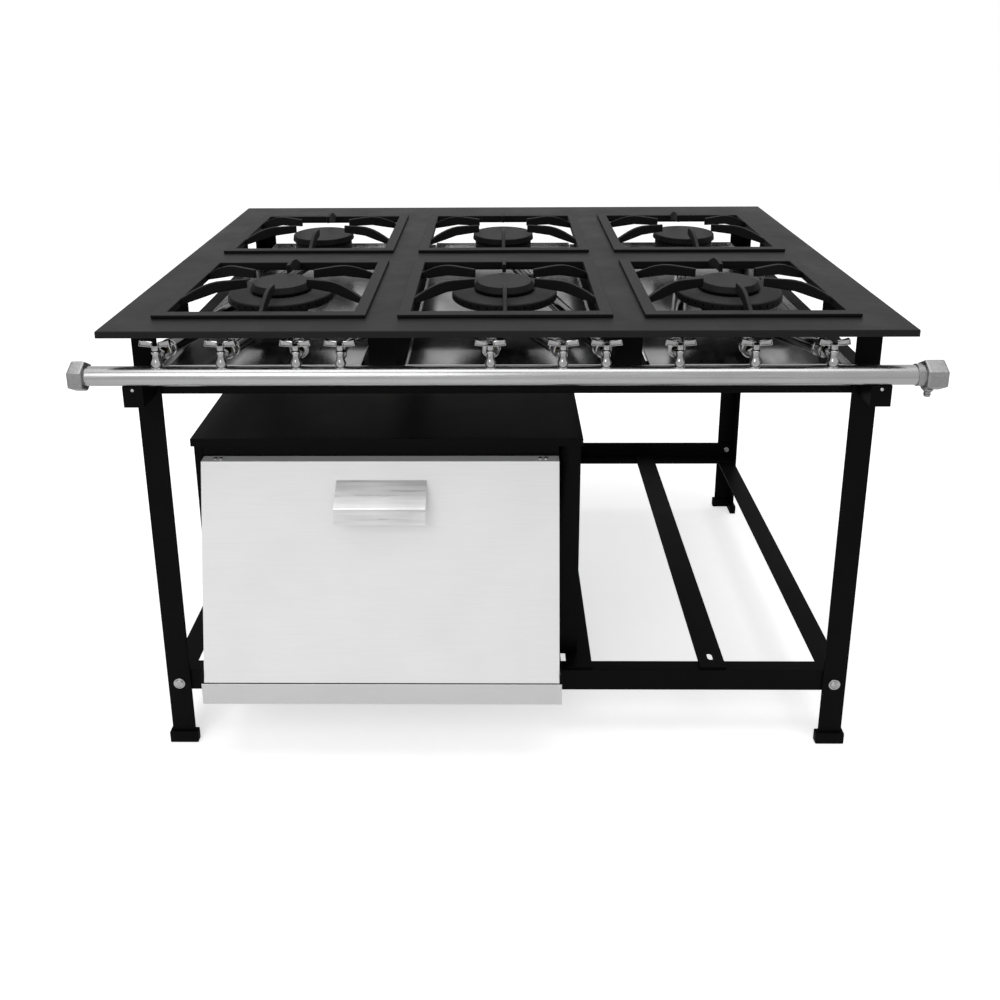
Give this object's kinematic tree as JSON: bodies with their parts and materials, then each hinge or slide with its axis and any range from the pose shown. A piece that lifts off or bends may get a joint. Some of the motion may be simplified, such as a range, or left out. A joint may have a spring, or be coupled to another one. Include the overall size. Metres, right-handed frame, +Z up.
{
  "type": "industrial stove with oven",
  "caption": "Open-frame gas stove with a dark table of cast-iron grates, a front gas pipe with winged taps, and a leaning-door oven on the lower shelf.",
  "frame": {"origin": "on the floor under the middle of the stove's overall box", "axes": "+X right as seen from the front, +Y to the rear, +Z up; the taps and oven door face -Y"},
  "size_m": [1.34, 0.9352, 0.817],
  "materials": {
    "frame_steel": "black satin paint",
    "table_steel": "dark grey matte enamel",
    "fixings": "zinc plated",
    "galvanised_pipe": "galvanised",
    "tap_chrome": "polished",
    "brass": "turned",
    "cast_iron": "black, as cast",
    "tray_steel": "bright sheet",
    "oven_paint": "black semi-gloss paint",
    "oven_lining": "grey enamel",
    "rack_wire": "plated wire",
    "burner_tube": "plain tube",
    "door_steel": "satin sheet"
  },
  "bodies": {
    "stove_frame": {"leg_front_left": "frame_steel", "leg_front_right": "frame_steel", "leg_rear_left": "frame_steel", "leg_rear_right": "frame_steel", "leg_shoes": "frame_steel", "upper_cross_rails": "frame_steel", "upper_side_rails": "frame_steel", "table_posts": "frame_steel", "burner_bars": "frame_steel", "lower_cross_rails": "frame_steel", "lower_side_rails": "frame_steel", "shelf_bars": "frame_steel", "manifold_brackets": "frame_steel", "top_side_channels": "table_steel", "top_cross_channels": "table_steel", "top_dividers": "table_steel", "leg_bolts": "fixings", "manifold_screws": "fixings", "gas_manifold": "galvanised_pipe", "manifold_cap": "galvanised_pipe", "manifold_inlet": "galvanised_pipe", "tap_bodies": "tap_chrome", "injectors": "brass", "double_burners": "cast_iron", "single_burners": "cast_iron", "burner_caps": "cast_iron", "oven_casing": "oven_paint", "oven_cover": "oven_paint", "oven_front_frame": "oven_paint", "oven_mouth": "oven_paint", "oven_liner": "oven_lining", "oven_floor": "oven_lining", "oven_rack": "rack_wire", "oven_burner": "burner_tube", "oven_feed_tube": "burner_tube", "oven_skirt": "door_steel"},
    "tap_handle_one": {"tap_handle_one": "tap_chrome"},
    "tap_handle_two": {"tap_handle_two": "tap_chrome"},
    "tap_handle_three": {"tap_handle_three": "tap_chrome"},
    "tap_handle_four": {"tap_handle_four": "tap_chrome"},
    "tap_handle_five": {"tap_handle_five": "tap_chrome"},
    "tap_handle_six": {"tap_handle_six": "tap_chrome"},
    "tap_handle_seven": {"tap_handle_seven": "tap_chrome"},
    "tap_handle_eight": {"tap_handle_eight": "tap_chrome"},
    "tap_handle_nine": {"tap_handle_nine": "tap_chrome"},
    "tap_handle_ten": {"tap_handle_ten": "tap_chrome"},
    "grate_front_left": {"grate_front_left": "cast_iron"},
    "grate_front_centre": {"grate_front_centre": "cast_iron"},
    "grate_front_right": {"grate_front_right": "cast_iron"},
    "grate_rear_left": {"grate_rear_left": "cast_iron"},
    "grate_rear_centre": {"grate_rear_centre": "cast_iron"},
    "grate_rear_right": {"grate_rear_right": "cast_iron"},
    "drip_tray_left": {"drip_tray_left": "tray_steel"},
    "drip_tray_centre": {"drip_tray_centre": "tray_steel"},
    "drip_tray_right": {"drip_tray_right": "tray_steel"},
    "oven_door": {"door_panel": "door_steel", "door_back": "door_steel", "door_handle": "door_steel", "door_hinge_pins": "fixings", "door_screws": "fixings"}
  },
  "joints": [
    {"name": "oven_door_hinge", "type": "hinge", "parent": "stove_frame", "child": "oven_door", "pos_m": [-0.208, -0.44989, 0.182], "axis": [1, 0, 0], "range_deg": [0, 100]},
    {"name": "tap_one_turn", "type": "hinge", "parent": "stove_frame", "child": "tap_handle_one", "pos_m": [-0.535, -0.44639, 0.76], "axis": [0, 0, 1], "range_deg": [0, 90]},
    {"name": "tap_two_turn", "type": "hinge", "parent": "stove_frame", "child": "tap_handle_two", "pos_m": [-0.435, -0.44639, 0.76], "axis": [0, 0, 1], "range_deg": [0, 90]},
    {"name": "tap_three_turn", "type": "hinge", "parent": "stove_frame", "child": "tap_handle_three", "pos_m": [-0.32, -0.44639, 0.76], "axis": [0, 0, 1], "range_deg": [0, 90]},
    {"name": "tap_four_turn", "type": "hinge", "parent": "stove_frame", "child": "tap_handle_four", "pos_m": [-0.252, -0.44639, 0.76], "axis": [0, 0, 1], "range_deg": [0, 90]},
    {"name": "tap_five_turn", "type": "hinge", "parent": "stove_frame", "child": "tap_handle_five", "pos_m": [-0.022, -0.44639, 0.76], "axis": [0, 0, 1], "range_deg": [0, 90]},
    {"name": "tap_six_turn", "type": "hinge", "parent": "stove_frame", "child": "tap_handle_six", "pos_m": [0.089, -0.44639, 0.76], "axis": [0, 0, 1], "range_deg": [0, 90]},
    {"name": "tap_seven_turn", "type": "hinge", "parent": "stove_frame", "child": "tap_handle_seven", "pos_m": [0.155, -0.44639, 0.76], "axis": [0, 0, 1], "range_deg": [0, 90]},
    {"name": "tap_eight_turn", "type": "hinge", "parent": "stove_frame", "child": "tap_handle_eight", "pos_m": [0.267, -0.44639, 0.76], "axis": [0, 0, 1], "range_deg": [0, 90]},
    {"name": "tap_nine_turn", "type": "hinge", "parent": "stove_frame", "child": "tap_handle_nine", "pos_m": [0.382, -0.44639, 0.76], "axis": [0, 0, 1], "range_deg": [0, 90]},
    {"name": "tap_ten_turn", "type": "hinge", "parent": "stove_frame", "child": "tap_handle_ten", "pos_m": [0.5, -0.44639, 0.76], "axis": [0, 0, 1], "range_deg": [0, 90]},
    {"name": "grate_front_left_lift", "type": "slide", "parent": "stove_frame", "child": "grate_front_left", "axis": [0, 0, 1], "range_m": [0, 0.15]},
    {"name": "grate_front_centre_lift", "type": "slide", "parent": "stove_frame", "child": "grate_front_centre", "axis": [0, 0, 1], "range_m": [0, 0.15]},
    {"name": "grate_front_right_lift", "type": "slide", "parent": "stove_frame", "child": "grate_front_right", "axis": [0, 0, 1], "range_m": [0, 0.15]},
    {"name": "grate_rear_left_lift", "type": "slide", "parent": "stove_frame", "child": "grate_rear_left", "axis": [0, 0, 1], "range_m": [0, 0.15]},
    {"name": "grate_rear_centre_lift", "type": "slide", "parent": "stove_frame", "child": "grate_rear_centre", "axis": [0, 0, 1], "range_m": [0, 0.15]},
    {"name": "grate_rear_right_lift", "type": "slide", "parent": "stove_frame", "child": "grate_rear_right", "axis": [0, 0, 1], "range_m": [0, 0.15]},
    {"name": "drip_tray_left_slide", "type": "slide", "parent": "stove_frame", "child": "drip_tray_left", "axis": [0, 1, 0], "range_m": [0, 0.6]},
    {"name": "drip_tray_centre_slide", "type": "slide", "parent": "stove_frame", "child": "drip_tray_centre", "axis": [0, 1, 0], "range_m": [0, 0.6]},
    {"name": "drip_tray_right_slide", "type": "slide", "parent": "stove_frame", "child": "drip_tray_right", "axis": [0, 1, 0], "range_m": [0, 0.6]}
  ]
}
